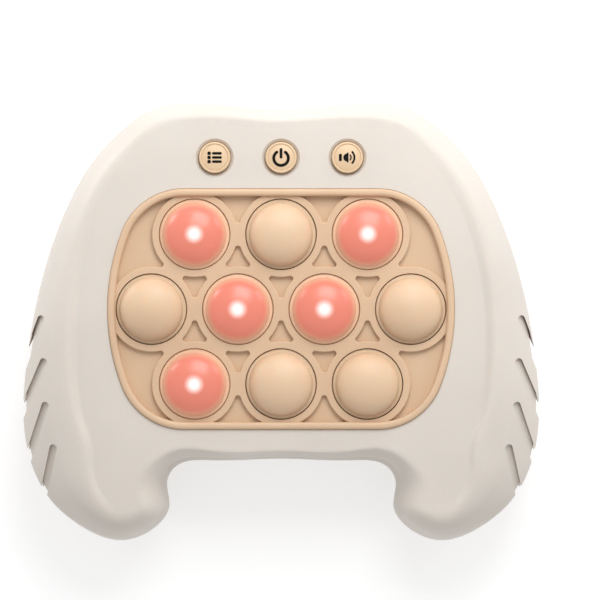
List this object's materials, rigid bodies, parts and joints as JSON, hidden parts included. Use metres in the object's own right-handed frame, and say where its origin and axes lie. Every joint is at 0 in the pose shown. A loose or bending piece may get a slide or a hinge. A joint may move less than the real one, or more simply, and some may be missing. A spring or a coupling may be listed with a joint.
{
  "type": "electronic bubble pop game",
  "caption": "Two-grip handheld electronic pop game: off-white casing, peach frame with rows of pressable round silicone domes, round keys above, battery bay behind.",
  "frame": {"origin": "middle of the casing's outline, on its flat back", "axes": "lying on its back: +X to the player's right, +Y to the top of the face where the keys are, +Z out of the face"},
  "size_m": [0.1562, 0.1322, 0.0412],
  "materials": {
    "shell": "satin off-white moulded plastic",
    "cover": "satin off-white moulded plastic",
    "frame": "satin peach moulded plastic",
    "dome": "satin peach silicone, dark light below",
    "dome_lit": "satin silicone glowing red from the light below",
    "key": "satin peach moulded plastic",
    "silicone": "matt translucent white silicone",
    "carbon": "matt black conductive rubber",
    "board": "satin green laminate",
    "gold": "gold-plated copper",
    "led": "white LED package",
    "resin": "black resin drop",
    "capacitor": "dark sleeve",
    "screw": "zinc-plated steel",
    "cell": "plain dark grey sleeve",
    "spring": "nickel-plated wire",
    "plate": "nickel-plated sheet",
    "speaker": "black basket and cone",
    "red_wire": "red insulation",
    "black_wire": "black insulation",
    "grey_wire": "grey insulation"
  },
  "bodies": {
    "casing": {"front_shell": "shell", "rear_shell": "shell", "bubble_frame": "frame", "silicone_mat": "silicone", "main_board": "board", "board_traces": "gold", "leds": "led", "sound_chip": "resin", "capacitors": "capacitor", "case_screws": "screw", "board_screws": "screw", "battery_cells": "cell", "battery_springs": "spring", "battery_plates": "plate", "speaker": "speaker", "battery_lead_positive": "red_wire", "battery_lead_negative": "black_wire", "speaker_leads": "grey_wire"},
    "bubble_a1": {"bubble_a1": "dome_lit", "contact_ring_a1": "carbon"},
    "bubble_a2": {"bubble_a2": "dome", "contact_ring_a2": "carbon"},
    "bubble_a3": {"bubble_a3": "dome_lit", "contact_ring_a3": "carbon"},
    "bubble_b1": {"bubble_b1": "dome", "contact_ring_b1": "carbon"},
    "bubble_b2": {"bubble_b2": "dome_lit", "contact_ring_b2": "carbon"},
    "bubble_b3": {"bubble_b3": "dome_lit", "contact_ring_b3": "carbon"},
    "bubble_b4": {"bubble_b4": "dome", "contact_ring_b4": "carbon"},
    "bubble_c1": {"bubble_c1": "dome_lit", "contact_ring_c1": "carbon"},
    "bubble_c2": {"bubble_c2": "dome", "contact_ring_c2": "carbon"},
    "bubble_c3": {"bubble_c3": "dome", "contact_ring_c3": "carbon"},
    "menu_key": {"menu_key": "key", "menu_plunger": "silicone"},
    "power_key": {"power_key": "key", "power_plunger": "silicone"},
    "sound_key": {"sound_key": "key", "sound_plunger": "silicone"},
    "battery_cover": {"battery_cover": "cover", "battery_cover_screw": "screw"}
  },
  "joints": [
    {"name": "bubble_a1_press", "type": "slide", "parent": "casing", "child": "bubble_a1", "axis": [0, 0, -1], "range_m": [0, 0.0028], "stiffness_N_per_m": 500},
    {"name": "bubble_a2_press", "type": "slide", "parent": "casing", "child": "bubble_a2", "axis": [0, 0, -1], "range_m": [0, 0.0028], "stiffness_N_per_m": 500},
    {"name": "bubble_a3_press", "type": "slide", "parent": "casing", "child": "bubble_a3", "axis": [0, 0, -1], "range_m": [0, 0.0028], "stiffness_N_per_m": 500},
    {"name": "bubble_b1_press", "type": "slide", "parent": "casing", "child": "bubble_b1", "axis": [0, 0, -1], "range_m": [0, 0.0028], "stiffness_N_per_m": 500},
    {"name": "bubble_b2_press", "type": "slide", "parent": "casing", "child": "bubble_b2", "axis": [0, 0, -1], "range_m": [0, 0.0028], "stiffness_N_per_m": 500},
    {"name": "bubble_b3_press", "type": "slide", "parent": "casing", "child": "bubble_b3", "axis": [0, 0, -1], "range_m": [0, 0.0028], "stiffness_N_per_m": 500},
    {"name": "bubble_b4_press", "type": "slide", "parent": "casing", "child": "bubble_b4", "axis": [0, 0, -1], "range_m": [0, 0.0028], "stiffness_N_per_m": 500},
    {"name": "bubble_c1_press", "type": "slide", "parent": "casing", "child": "bubble_c1", "axis": [0, 0, -1], "range_m": [0, 0.0028], "stiffness_N_per_m": 500},
    {"name": "bubble_c2_press", "type": "slide", "parent": "casing", "child": "bubble_c2", "axis": [0, 0, -1], "range_m": [0, 0.0028], "stiffness_N_per_m": 500},
    {"name": "bubble_c3_press", "type": "slide", "parent": "casing", "child": "bubble_c3", "axis": [0, 0, -1], "range_m": [0, 0.0028], "stiffness_N_per_m": 500},
    {"name": "menu_key_press", "type": "slide", "parent": "casing", "child": "menu_key", "axis": [0, 0, -1], "range_m": [0, 0.001], "stiffness_N_per_m": 900},
    {"name": "power_key_press", "type": "slide", "parent": "casing", "child": "power_key", "axis": [0, 0, -1], "range_m": [0, 0.001], "stiffness_N_per_m": 900},
    {"name": "sound_key_press", "type": "slide", "parent": "casing", "child": "sound_key", "axis": [0, 0, -1], "range_m": [0, 0.001], "stiffness_N_per_m": 900},
    {"name": "battery_cover_hinge", "type": "hinge", "parent": "casing", "child": "battery_cover", "pos_m": [0, -0.01835, 0.0002], "axis": [-1, 0, 0], "range_deg": [0, 60]}
  ]
}
